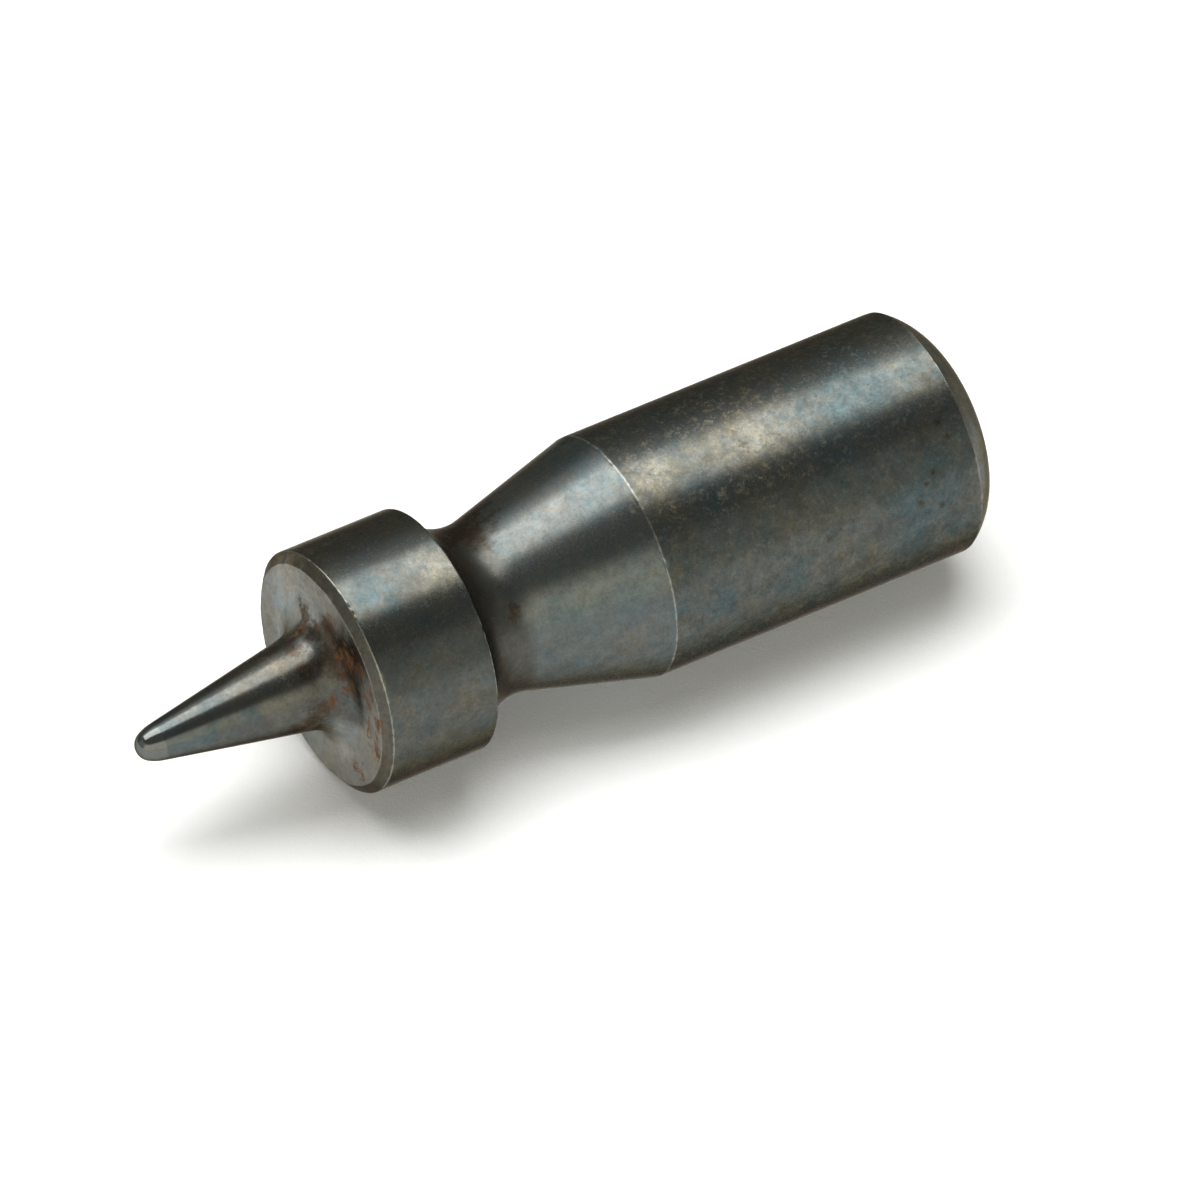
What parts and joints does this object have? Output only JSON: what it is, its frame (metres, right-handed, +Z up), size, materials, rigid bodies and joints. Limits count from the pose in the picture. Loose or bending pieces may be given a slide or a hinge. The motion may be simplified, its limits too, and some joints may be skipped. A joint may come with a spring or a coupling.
{
  "type": "chain breaker punch",
  "caption": "Solid turned steel punch for pressing out chain rivets: slim tapered tip, chamfered collar, hollow neck, conical shoulder, plain sliding shank and domed head.",
  "frame": {"origin": "on the tool axis, in the plane of the collar's front face", "axes": "+X along the tool axis from the tip towards the head, +Z up; the punch lies on its side, on the collar and the shank"},
  "size_m": [0.047, 0.0126, 0.0126],
  "materials": {
    "blackened_steel": "hardened tool steel, turned and ground, thinly blackened with a blue and brown heat tint, bright on the worn edges and at the point, specks of rust in the corners"
  },
  "bodies": {
    "root": {"punch": "blackened_steel"}
  },
  "joints": []
}
